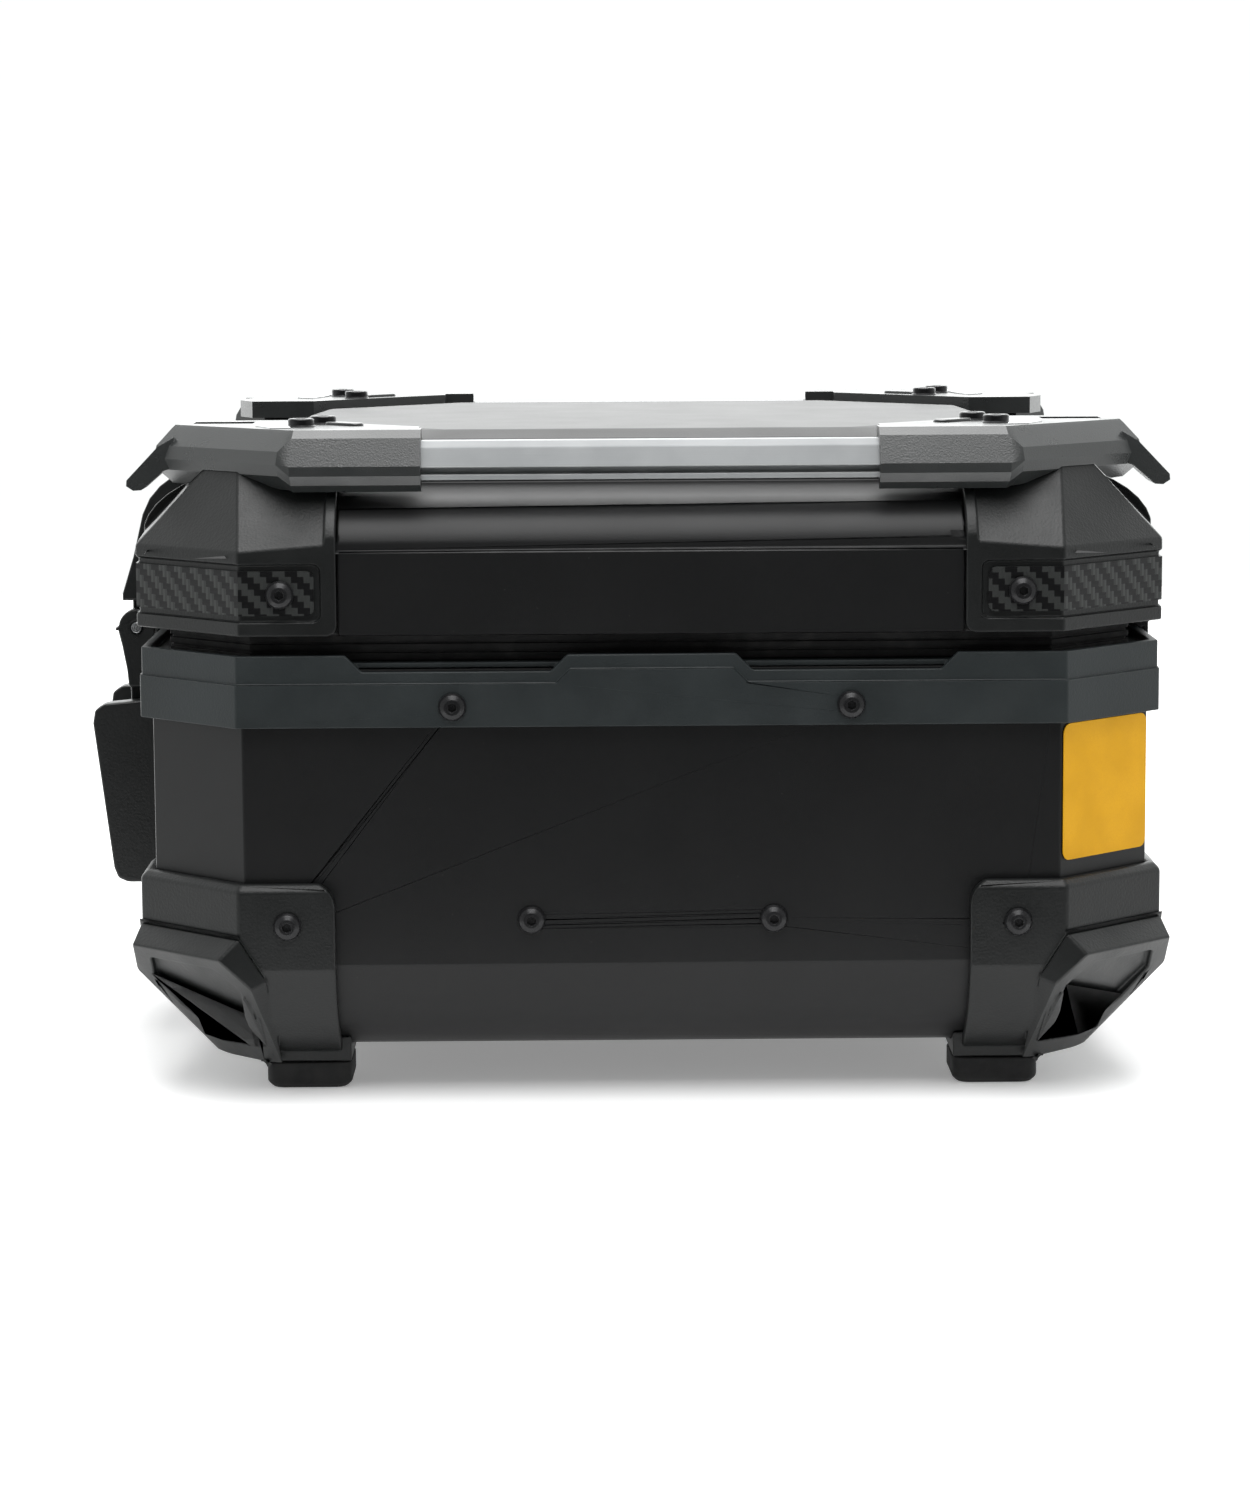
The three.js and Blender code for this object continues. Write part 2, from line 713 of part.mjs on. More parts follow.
function lidGuard() {
  const inner = facets(-LID_GUARD_T + GAP, FACET_TOP)
    .intersect(box([-300, 300], [-300, 300], [LID_Z0 - 5, BAND_TOP + SHOULDER_RISE + GAP]));
  const [tabX, tabY] = [LID_TAB_X + GAP, LID_TAB_Y + GAP];
  const corner = cornerTabs(
    stripOutline(tabX, LID_Z0, 300, LID_TAB_RADIUS),
    stripOutline(tabY, LID_Z0, 300, LID_TAB_RADIUS),
  );
  const beyondRib = cornerBox(tabX + RIB, tabY + RIB, LID_Z0 - 1, 301);
  const upright = stack([{ off: LID_GUARD_OUT, z: LID_Z0 }, { off: LID_GUARD_OUT, z: FACET_TOP }]);
  const ribForm = stack(shoulderLevels(RIB_OUT, LID_Z0)).intersect(upright).subtract(beyondRib);
  return facets(0, FACET_TOP)
    .intersect(beyondRib)
    .add(ribForm)
    .intersect(corner)
    .subtract(inner)
    .subtract(crown(GAP))
    .subtract(trimRecess())
    .subtract(rod("y", TRIM_SCREW, [HALF_Y - 20, HALF_Y + 20], HOLE, 10));
}

// A strip round a lid corner between two offsets, `margin` inside the outline of the trim's recess.
function trimStrip(out, inside, margin) {
  const [z0, z1] = [TRIM_Z[0] + margin, TRIM_Z[1] - margin];
  const front = stripOutline(TRIM_X + margin, z0, z1, 3);
  const side = stripOutline(TRIM_X - HALF_X + HALF_Y + margin, z0, z1, 3);
  const outer = cornerStrip(out, z0, z1);
  return outer.subtract(cornerStrip(inside, z0 - 1, z1 + 1)).intersect(cornerTabs(front, side));
}

// The lid's faceted form, `sunk` below the guard's face, between two heights.
function cornerStrip(sunk, z0, z1) {
  return facets(-sunk, FACET_TOP).intersect(box([0, 300], [0, 300], [z0, z1]));
}

// The recess for the trim, cut from outside the guard's face.
function trimRecess() {
  return trimStrip(-2, TRIM_T + GAP, 0);
}

function trimInsert() {
  return trimStrip(0.1, TRIM_T, TRIM_BORDER)
    .subtract(rod("y", TRIM_SCREW, [HALF_Y - 20, HALF_Y + 20], HOLE, 10));
}

// ---- Luggage rail ----
// Unit vector square to a run of an outline, on its left-hand side.
function outwards([x0, y0], [x1, y1]) {
  return new THREE.Vector2(y0 - y1, x1 - x0).normalize();
}

// The step that moves a corner between two runs a millimetre away from each of them.
function mitre(before, after) {
  return before.clone().add(after).divideScalar(1 + before.dot(after));
}

// A convex outline, given clockwise, with every edge moved out.
function grown(points, by) {
  const count = points.length;
  return points.map((point, i) => {
    const before = outwards(points[(i + count - 1) % count], point);
    const after = outwards(point, points[(i + 1) % count]);
    const step = mitre(before, after);
    return [point[0] + by * step.x, point[1] + by * step.y];
  });
}

// The rail's cross section at one corner of its plan, on the mitre between the two runs that meet there.
function railSection(plan, index) {
  const last = plan.length - 1;
  const before = outwards(plan[Math.max(index - 1, 0)], plan[Math.max(index, 1)]);
  const after = outwards(plan[Math.min(index, last - 1)], plan[Math.min(index + 1, last)]);
  const step = mitre(before, after);
  const [x, y] = plan[index];
  const section = index < 2 ? RAIL_SECTION.front : RAIL_SECTION.corner;
  return section.map(([depth, z]) => [x - depth * step.x, y - depth * step.y, z]);
}

// A bar section as an outline across Y and Z.
function acrossRail(section) {
  return section.map(([depth, z]) => [RAIL_FRONT - depth, z]);
}

function railCorner(plan, web) {
  return loft(plan.map((point, index) => railSection(plan, index)))
    .add(prism(web, "z", WEB_Z[0], WEB_Z[1]))
    .add(rod("z", POST.at, [BAND_TOP, WEB_Z[0] + 1], POST.radius, 10))
    .subtract(prism(acrossRail(grown(BAR_SECTION, GAP)), "x", ...SOCKET_X))
    .subtract(facets(GAP, FACET_TOP + GAP))
    .subtract(stack(shoulderLevels(RIB_OUT + GAP, LID_Z0)));
}

// A front corner also has a hook outside and a strap slot behind it.
function railCornerFront() {
  return railCorner(RAIL_PLAN.front, WEB.front)
    .add(prism(EAR, "y", EAR_Y[0], EAR_Y[1]))
    .subtract(box(STRAP_SLOT.x, STRAP_SLOT.y, [240, 280]));
}

function railBar() {
  const { depth, z } = BAR_GROOVE;
  return prism(acrossRail(BAR_SECTION), "x", -BAR_HALF, BAR_HALF)
    .subtract(box([-BAR_HALF - 1, BAR_HALF + 1], [RAIL_FRONT - depth, RAIL_FRONT + 1], z));
}

// ---- Latch ----
function latchHousing() {
  const profile = [
    [-HALF_X - GAP, 56],
    [-240, 56],
    [-244.5, 58],
    [-246.3, 63],
    [-254.5, 130],
    [-253.5, 136],
    [-249, 139],
    [-HALF_X - GAP, 142],
  ];
  const channel = box([-270, -226.5], [-HASP_HALF - 0.8, HASP_HALF + 0.8], [CHANNEL_Z, 150]);
  const boltSlot = box(
    [BOLT.x[0] - 0.4, BOLT.x[1] + 0.4],
    [-BOLT.y - 0.4, BOLT.y + 0.4],
    [LOCK.z, CHANNEL_Z + 1],
  );
  return prism(profile, "y", -HOUSING_HALF, HOUSING_HALF)
    .subtract(channel)
    .subtract(boltSlot)
    .subtract(rod("x", [0, LOCK.z], [-270, LOCK.x[1] + GAP], LOCK.radius + GAP, 24));
}

function lockCylinder() {
  const keyway = box([LOCK.x[0] - 1, LOCK.x[0] + 5], [-1.1, 1.1], [LOCK.z - 4.6, LOCK.z + 4.6]);
  return rod("x", [0, LOCK.z], LOCK.x, LOCK.radius, 24).subtract(keyway);
}

function lockBolt() {
  return box(BOLT.x, [-BOLT.y, BOLT.y], BOLT.z);
}

// Upper half of the latch, on the lid, with a lug that carries the pin.
function haspBracket() {
  const [px, pz] = PIVOT;
  const profile = [
    [-190, 186],
    [-240.3, 186],
    [-240.3, 189],
    [-235, 206],
    [-232.6, 216],
    [-230.4, 225.5],
    [-227, 232.8],
    [-222.2, 238.4],
    [-216, 243],
    [-206, 246.6],
    [-190, 246.6],
  ];
  const lugSpan = [-EAR_SPAN[0] + 0.4, EAR_SPAN[0] - 0.4];
  const lug = box([px - 3, px + 7.5], lugSpan, [pz, 188]).add(rod("y", PIVOT, lugSpan, LUG_R, 20));
  return prism(profile, "y", -EAR_SPAN[1], EAR_SPAN[1])
    .add(lug)
    .subtract(lidOuter(GAP))
    .subtract(rod("y", PIVOT, [-60, 60], PIN_R + GAP, 12));
}

function haspPin() {
  return rod("y", PIVOT, [-EAR_SPAN[1] - 1.2, EAR_SPAN[1] + 1.2], PIN_R, 12);
}

function hasp() {
  const [px, pz] = PIVOT;
  const notch = box([-235.8, -220], [-BOLT.y - 1, BOLT.y + 1], [90, 107]);
  const tongue = [
    [-241, 165],
    [-239, 154],
    [-238, 143.5],
    [-238, 103],
    [-235, 100],
    [-229, 100],
    [-227.6, 165],
  ];
  const shoulder = [
    [px - 9, pz],
    [-241, 165],
    [-239, 154],
    [-238.3, 146],
    [-228, 146],
    [-226, pz],
  ];
  const outline = prism(tongue, "y", -HASP_HALF, HASP_HALF)
    .add(prism(shoulder, "y", -EAR_SPAN[1], EAR_SPAN[1]))
    .add(rod("y", PIVOT, [-EAR_SPAN[1], EAR_SPAN[1]], EAR_R, 20));
  const lugRoom = rod("y", PIVOT, [-EAR_SPAN[0], EAR_SPAN[0]], EAR_R + 0.6, 20)
    .add(box([px - 20, px + 20], [-EAR_SPAN[0], EAR_SPAN[0]], [pz - 1, pz + 20]));
  return outline
    .subtract(lugRoom)
    .subtract(notch)
    .subtract(rod("y", PIVOT, [-60, 60], PIN_R + GAP, 12));
}

// ---- Hinges ----
// A leaf with its knuckles round the axis: the base leaf has the outer two, the lid leaf the middle one.
function hingeLeaf(plateX, plateZ, knuckles) {
  const [ax, az] = HINGE_AXIS;
  let leaf = box(plateX, [-HINGE_HALF, HINGE_HALF], plateZ);
  const towards = plateZ[0] < az ? [plateZ[1] - 1, az] : [az, plateZ[0] + 1];
  for (const span of knuckles) {
    leaf = leaf.add(rod("y", HINGE_AXIS, span, HINGE_R, 16)).add(box(plateX, span, towards));
  }
  return leaf.subtract(rod("y", HINGE_AXIS, [-40, 40], HINGE_PIN_R + GAP, 10));
}

function hingeLeafBase() {
  const x = HALF_X + RIM_OUT + GAP;
  return hingeLeaf([x, x + 2], [149, RIM_Z1], [[-HINGE_HALF, -9.2], [9.2, HINGE_HALF]]);
}

function hingeLeafLid() {
  const x = HALF_X + BAND_OUT + GAP;
  return hingeLeaf([x, x + 2], [LID_Z0, 214], [[-8.9, 8.9]]);
}

function hingePin() {
  return rod("y", HINGE_AXIS, [-HINGE_HALF, HINGE_HALF], HINGE_PIN_R, 10);
}

// ---- Materials ----
function finish(color, roughness, metalness) {
  return new THREE.MeshStandardMaterial({ color, roughness, metalness, flatShading: true });
}

const PAINTED = finish(0x1e1f21, 0.55, 0.35);
const RIM_COAT = finish(0x303536, 0.6, 0.15);
const ARMOUR_PLASTIC = finish(0x3c4040, 0.6, 0.05);
const RAIL_COAT = finish(0x6e7475, 0.45, 0.3);
const RUBBER = finish(0x121314, 0.85, 0);
const CARBON = finish(0x26292a, 0.3, 0.1);
const BLACK_STEEL = finish(0x141516, 0.35, 0.8);
const BRIGHT_STEEL = finish(0xb8bcbe, 0.3, 0.9);
const AMBER = finish(0xdba528, 0.4, 0);

// ---- Assembly ----
const topCase = new THREE.Group();

function addTo(parent, name, shape, material, position = [0, 0, 0]) {
  const mesh = new THREE.Mesh(geometryOf(welded(shape)), material);
  mesh.name = name;
  mesh.position.set(...position);
  parent.add(mesh);
  return mesh;
}

// The same piece in all four quarters, made in the one at +X, +Y.
function addQuarters(parent, name, shape, material) {
  for (const quarter of QUARTERS) {
    addTo(parent, `${name}_${quarter.name}`, mirrored(shape, quarter.sx, quarter.sy), material);
  }
}

const base = new THREE.Group();
topCase.add(base);
addTo(base, "base_shell", baseShell(), PAINTED);
addTo(base, "rim_frame", rimFrame(), RIM_COAT);
addTo(base, "rim_seal", rimSeal(), RUBBER);
addQuarters(base, "base_guard", baseGuard(), ARMOUR_PLASTIC);
addQuarters(base, "foot", foot(), RUBBER);
for (const { name, sx, sy } of QUARTERS.filter((quarter) => quarter.sx > 0)) {
  addTo(base, `reflector_${name}`, mirrored(reflector(), sx, sy), AMBER);
}
addQuarters(base, "panel_screw", screw(PANEL_SCREW, HALF_Y + GAP), BLACK_STEEL);
addQuarters(base, "rim_screw", screw(RIM_SCREW, HALF_Y + RIM_OUT + GAP), BLACK_STEEL);
addQuarters(base, "guard_screw", screw(GUARD_SCREW, HALF_Y + GUARD_OUT + GAP), BLACK_STEEL);
addTo(base, "latch_housing", latchHousing(), ARMOUR_PLASTIC);
addTo(base, "lock_cylinder", lockCylinder(), BRIGHT_STEEL);
addTo(base, "lock_bolt", lockBolt(), BRIGHT_STEEL);

const lid = new THREE.Group();
topCase.add(lid);
addTo(lid, "lid_shell", lidShell(), PAINTED);
addTo(lid, "lid_lip", lidLip(), ARMOUR_PLASTIC);
addQuarters(lid, "lid_guard", lidGuard(), ARMOUR_PLASTIC);
addQuarters(lid, "lid_trim", trimInsert(), CARBON);
addQuarters(lid, "trim_screw", screw(TRIM_SCREW, HALF_Y + LID_GUARD_OUT + 0.2), BLACK_STEEL);
const frontCorner = railCornerFront();
const rearCorner = railCorner(RAIL_PLAN.rear, WEB.rear);
for (const { name, sx, sy } of QUARTERS) {
  const corner = sy < 0 ? frontCorner : rearCorner;
  addTo(lid, `rail_corner_${name}`, mirrored(corner, sx, sy), ARMOUR_PLASTIC);
}
addTo(lid, "rail_bar_front", mirrored(railBar(), 1, -1), RAIL_COAT);
addTo(lid, "rail_bar_rear", railBar(), RAIL_COAT);
addTo(lid, "hasp_bracket", haspBracket(), ARMOUR_PLASTIC);
addTo(lid, "hasp_pin", haspPin(), BRIGHT_STEEL);
addTo(lid, "hasp", hasp(), ARMOUR_PLASTIC);

for (const [name, y] of [["front", -HINGE_Y], ["rear", HINGE_Y]]) {
  addTo(base, `hinge_leaf_base_${name}`, hingeLeafBase(), BLACK_STEEL, [0, y, 0]);
  addTo(base, `hinge_pin_${name}`, hingePin(), BRIGHT_STEEL, [0, y, 0]);
  addTo(lid, `hinge_leaf_lid_${name}`, hingeLeafLid(), BLACK_STEEL, [0, y, 0]);
}

export default topCase;
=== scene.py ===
"""The looks of a black motorcycle top case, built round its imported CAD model.

Metres, +Z up, the viewer on the -Y side.
"""
import math

import bmesh
import bpy
from mathutils import Matrix, Vector


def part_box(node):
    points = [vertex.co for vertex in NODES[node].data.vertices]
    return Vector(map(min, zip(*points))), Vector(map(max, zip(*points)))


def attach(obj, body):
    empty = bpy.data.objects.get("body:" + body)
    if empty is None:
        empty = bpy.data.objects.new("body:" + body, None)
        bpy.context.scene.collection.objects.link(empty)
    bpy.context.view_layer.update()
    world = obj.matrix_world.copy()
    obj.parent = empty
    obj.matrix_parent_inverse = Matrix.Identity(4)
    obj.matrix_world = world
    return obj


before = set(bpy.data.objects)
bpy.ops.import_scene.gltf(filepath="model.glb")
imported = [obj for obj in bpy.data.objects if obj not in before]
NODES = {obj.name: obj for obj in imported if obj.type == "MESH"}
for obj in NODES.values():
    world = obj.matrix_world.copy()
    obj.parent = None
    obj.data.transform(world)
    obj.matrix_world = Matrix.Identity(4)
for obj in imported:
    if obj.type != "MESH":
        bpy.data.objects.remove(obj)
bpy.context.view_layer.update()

QUARTERS = {
    "front_left": (-1, -1),
    "front_right": (1, -1),
    "rear_left": (-1, 1),
    "rear_right": (1, 1),
}

# ---- Camera, from the photograph's viewpoint ----
CAMERA_AT = (-0.0256, -1.888, 0.3587)
CAMERA_YAW = math.radians(0.48)  # towards +X
CAMERA_PITCH = math.radians(-7.49)
CAMERA_ROLL = math.radians(-0.34)
LENS_MM = 97.1
SENSOR_MM = 36

# ---- Stage ----
FLOOR_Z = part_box("foot_front_left")[0].z
NEAR_FLOOR_HALF = 0.40  # the part of the floor that shows in the gloss of the case
FLOOR_HALF = 2.2
FLOOR_GLOW = 0.25
TOP_BOX = {"at": (0, 0, 2.2), "aim": (0, 0, 0), "width": 1.7, "length": 4.2, "watts": 100}

# brightness of the surroundings, by direction
SKY_SIDES = 0.75
SKY_BEHIND = 2.8
SKY_VIEWER = 0.10
SKY_OVERHEAD = 0.45
BACKDROP = 1.02  # as the camera sees it
SKY_TINT = (0.985, 1.0, 0.995)

# ---- Mesh finishing ----
WELD_DISTANCE = 1e-5
FLAT_BELOW = math.radians(0.6)
SMOOTH_BELOW = 17.5  # degrees
BEVEL_ABOVE = math.radians(17.6)
NORMAL_WEIGHT = 50

# ---- Worn edges: how far the rounded normal agrees with the flat one ----
AGREES_AT_EDGE = 0.80
AGREES_ON_FACE = 0.985
EDGE_RADIUS = 0.0012

# ---- Weave ----
TOW = 0.0026  # width of one bundle of fibres

# ---- Small parts on the rail corners ----
RAIL_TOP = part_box("rail_corner_front_left")[1].z
CORNER_SCREWS = ((0.149, 0.150), (0.141, 0.127))  # on one corner; the others mirror it
SCREW_RADIUS = 0.0056
SCREW_HEIGHT = 0.0034
SCREW_CHAMFER = 0.0005
WASHER_RADIUS = SCREW_RADIUS + 0.0008
WASHER_HEIGHT = 0.0003
KEY_HALF = 0.0026  # half the width across the flats of the hexagon socket
KEY_FLOOR = 0.0012  # height of the socket's floor
SCREW_STEPS = 48
SUNK = 0.0004  # how far a screw reaches into the rail
INLAY = ((0.152, 0.170), (0.161, 0.168), (0.169, 0.148), (0.170, 0.126), (0.162, 0.118), (0.157, 0.136))
INLAY_HEIGHT = 0.0006
INLAY_CHAMFER = 0.0002
BOSS_AT = (0.131, 0.141)
BOSS_HALF = 0.0065  # half its straight length
BOSS_RADIUS = 0.0040
BOSS_STEPS = 24
BOSS_HEIGHT = 0.0012
BOSS_CHAMFER = 0.0005
PLATE_SUNK = 0.0003
SMALL_BEVEL = 0.00025


# ---- Shader helpers ----
def new_material(name, **sockets):
    """A Principled material; keyword names are its sockets, with _ for a space."""
    material = bpy.data.materials.new(name)
    material.use_nodes = True
    shader = material.node_tree.nodes["Principled BSDF"]
    for key, value in sockets.items():
        shader.inputs[key.replace("_", " ")].default_value = value
    return material


def rgb(red, green, blue):
    return (red, green, blue, 1.0)


def add_node(material, kind, inputs=None, **settings):
    """A shader node whose inputs are plain values or other nodes' outputs."""
    tree = material.node_tree
    made = tree.nodes.new(kind)
    for key, value in settings.items():
        setattr(made, key, value)
    for key, value in (inputs or {}).items():
        if isinstance(value, bpy.types.NodeSocket):
            tree.links.new(value, made.inputs[key])
        else:
            made.inputs[key].default_value = value
    return made


def object_point(material, stretch=(1, 1, 1)):
    """Position in the piece's own space, in metres, with each axis scaled."""
    point = add_node(material, "ShaderNodeTexCoord").outputs["Object"]
    return add_node(material, "ShaderNodeMapping", {"Vector": point, "Scale": stretch}).outputs["Vector"]


def noise(material, size, detail=3.0, stretch=(1, 1, 1)):
    """Cloudy noise whose features are about `size` metres across."""
    inputs = {"Vector": object_point(material, stretch), "Scale": 1 / size, "Detail": detail}
    return add_node(material, "ShaderNodeTexNoise", inputs).outputs["Fac"]


def cells(material, size, feature="F1"):
    """Distance within cells about `size` metres across."""
    inputs = {"Vector": object_point(material), "Scale": 1 / size}
    return add_node(material, "ShaderNodeTexVoronoi", inputs, feature=feature).outputs["Distance"]


def span(material, value, low, high, to_low=0.0, to_high=1.0):
    """`value` from low..high mapped to to_low..to_high and clamped."""
    inputs = {"Value": value, "From Min": low, "From Max": high, "To Min": to_low, "To Max": to_high}
    return add_node(material, "ShaderNodeMapRange", inputs).outputs["Result"]


def cloud(material, size):
    """Soft patches about `size` metres across, from 0 to 1."""
    return span(material, noise(material, size, 4), 0.35, 0.65)


def maths(material, operation, a, b=0.0):
    made = add_node(material, "ShaderNodeMath", {0: a, 1: b}, operation=operation)
    return made.outputs[0]


def blend_colour(material, amount, a, b):
    inputs = {"Factor": amount, 6: a, 7: b}
    return add_node(material, "ShaderNodeMix", inputs, data_type="RGBA").outputs[2]


def blend_value(material, amount, a, b):
    return add_node(material, "ShaderNodeMix", {"Factor": amount, 2: a, 3: b}, data_type="FLOAT").outputs[0]


def edge_mask(material, radius=EDGE_RADIUS):
    """1 along worn outer edges and 0 on flat faces, broken up by noise."""
    rounded = add_node(material, "ShaderNodeBevel", {"Radius": radius}, samples=6).outputs["Normal"]
    flat = add_node(material, "ShaderNodeNewGeometry").outputs["Normal"]
    agree = add_node(material, "ShaderNodeVectorMath", {0: rounded, 1: flat}, operation="DOT_PRODUCT")
    worn = span(material, agree.outputs["Value"], AGREES_AT_EDGE, AGREES_ON_FACE, 1.0, 0.0)
    patches = span(material, noise(material, 0.012, 4), 0.38, 0.62)
    return maths(material, "MULTIPLY", worn, patches)


def tint(material, mask, amount, colour, light):
    """`colour`, turned towards `light` by `amount` where the mask is 1."""
    return blend_colour(material, maths(material, "MULTIPLY", mask, amount), colour, light)


def set_bump(material, height, strength, distance):
    """The shader's normal from a height field."""
    inputs = {"Height": height, "Strength": strength, "Distance": distance}
    normal = add_node(material, "ShaderNodeBump", inputs).outputs["Normal"]
    link_to(material, "Normal", normal)


def set_roughness(material, pattern, low, high):
    """Roughness that follows a noise pattern between two values."""
    link_to(material, "Roughness", span(material, pattern, 0.3, 0.7, low, high))


def link_to(material, socket, output):
    shader = material.node_tree.nodes["Principled BSDF"]
    material.node_tree.links.new(output, shader.inputs[socket])


# ---- Materials ----
def powder_coat():
    """Fine-textured black coat on the sheet metal, with faint smudges and dust."""
    made = new_material("powder_coat", Specular_IOR_Level=0.34)
    smudge = span(made, noise(made, 0.05, 5), 0.45, 0.70)
    dust = span(made, cells(made, 0.011), 0.035, 0.0)
    colour = blend_colour(made, smudge, rgb(0.0058, 0.0060, 0.0064), rgb(0.0070, 0.0072, 0.0076))
    colour = tint(made, dust, 0.25, colour, rgb(0.09, 0.09, 0.085))
    colour = tint(made, edge_mask(made), 0.35, colour, rgb(0.05, 0.05, 0.05))
    link_to(made, "Base Color", colour)
    set_roughness(made, noise(made, 0.03, 5), 0.41, 0.44)
    set_bump(made, noise(made, 0.00045, 2), 0.35, 0.00012)
    return made


def moulded(name, colour, light, roughness, grain_size, gloss=0.5):
    """Grained hard plastic: colour drift, worn edges and a leather-fine grain."""
    made = new_material(name, Specular_IOR_Level=gloss)
    paler = rgb(*(value * 1.25 for value in colour))
    shade = blend_colour(made, cloud(made, 0.04), rgb(*colour), paler)
    link_to(made, "Base Color", tint(made, edge_mask(made), 0.55, shade, rgb(*light)))
    set_roughness(made, noise(made, 0.02, 5), roughness - 0.05, roughness + 0.07)
    pits = maths(made, "ADD", noise(made, grain_size, 3), cells(made, grain_size * 1.6))
    set_bump(made, pits, 0.30, grain_size * 0.25)
    return made


def satin_rail():
    """Grey satin coat on the extruded bars, with drawing lines along X."""
    made = new_material("satin_rail", Metallic=0.15, Specular_IOR_Level=0.5)
    lines = noise(made, 0.0006, 3, stretch=(0.02, 1, 1))
    colour = blend_colour(made, cloud(made, 0.025), rgb(0.25, 0.26, 0.265), rgb(0.29, 0.30, 0.305))
    link_to(made, "Base Color", tint(made, edge_mask(made), 0.6, colour, rgb(0.42, 0.43, 0.43)))
    set_roughness(made, lines, 0.34, 0.48)
    set_bump(made, lines, 0.2, 0.0001)
    return made


def rubber():
    """Dull black rubber with a trace of dust."""
    made = new_material("rubber", Specular_IOR_Level=0.35)
    dust = span(made, noise(made, 0.008, 5), 0.50, 0.75)
    colour = blend_colour(made, dust, rgb(0.010, 0.010, 0.0105), rgb(0.022, 0.022, 0.021))
    link_to(made, "Base Color", colour)
    set_roughness(made, noise(made, 0.004, 3), 0.62, 0.80)
    set_bump(made, noise(made, 0.0006, 3), 0.4, 0.0002)
    return made


def carbon_twill():
    """Two-by-two twill under a clear coat, laid along the strip as it wraps the corner; one set of tows
    carries a painted sheen and the other painted shade.
    """
    made = new_material("carbon_twill", Specular_IOR_Level=0.25, Coat_Weight=0.12, Coat_Roughness=0.15)
    coords = add_node(made, "ShaderNodeTexCoord")
    point = add_node(made, "ShaderNodeSeparateXYZ", {0: coords.outputs["Object"]})
    facing = add_node(made, "ShaderNodeSeparateXYZ", {0: coords.outputs["Normal"]})
    along = maths(
        made,
        "SUBTRACT",
        maths(made, "MULTIPLY", point.outputs["Y"], facing.outputs["X"]),
        maths(made, "MULTIPLY", point.outputs["X"], facing.outputs["Y"]),
    )
    u = maths(made, "DIVIDE", along, TOW)
    v = maths(made, "DIVIDE", point.outputs["Z"], TOW)
    diagonal = maths(made, "ADD", maths(made, "FLOOR", u), maths(made, "FLOOR", v))
    warp_over = maths(made, "LESS_THAN", maths(made, "FLOORED_MODULO", diagonal, 4.0), 2.0)
    weft_over = maths(made, "SUBTRACT", 1.0, warp_over)
    warp_height = maths(made, "MULTIPLY", maths(made, "PINGPONG", u, 0.5), warp_over)
    weft_height = maths(made, "MULTIPLY", maths(made, "PINGPONG", v, 0.5), weft_over)
    fibres = noise(made, 0.0004, 2)
    # Painted light: the same black fibre is made much lighter on one set of tows as a painted sheen, and
    # near black on the other as painted shade.
    painted_sheen_tows = blend_colour(made, fibres, rgb(0.018, 0.0195, 0.019), rgb(0.032, 0.034, 0.033))
    link_to(made, "Base Color", blend_colour(made, warp_over, rgb(0.003, 0.003, 0.0035), painted_sheen_tows))
    set_roughness(made, fibres, 0.35, 0.5)
    set_bump(made, maths(made, "ADD", warp_height, weft_height), 0.5, 0.0004)
    return made


def steel(name, colour, metallic, roughness):
    """Turned steel: fine marks and roughness drift."""
    made = new_material(name, Metallic=metallic, Specular_IOR_Level=0.5)
    paler = rgb(*(min(1, value * 1.35) for value in colour))
    shade = blend_colour(made, cloud(made, 0.006), rgb(*colour), paler)
    shade = tint(made, edge_mask(made, 0.0005), 0.5, shade, rgb(0.25, 0.25, 0.25))
    link_to(made, "Base Color", shade)
    marks = noise(made, 0.0005, 4)
    set_roughness(made, marks, roughness - 0.06, roughness + 0.1)
    set_bump(made, marks, 0.15, 0.0001)
    return made


def amber_sheet():
    """Reflective sheet: small prism cells with paler and darker patches, under a clear amber face."""
    made = new_material("amber_sheet", Specular_IOR_Level=0.1)
    prisms = cells(made, 0.0016, "DISTANCE_TO_EDGE")
    seam = span(made, prisms, 0.0, 0.09, 1.0, 0.0)
    face = blend_colour(made, cloud(made, 0.02), rgb(0.56, 0.285, 0.006), rgb(0.63, 0.325, 0.010))
    link_to(made, "Base Color", tint(made, seam, 0.35, face, rgb(0.55, 0.26, 0.01)))
    set_roughness(made, noise(made, 0.01, 3), 0.35, 0.5)
    set_bump(made, prisms, 0.15, 0.0002)
    return made


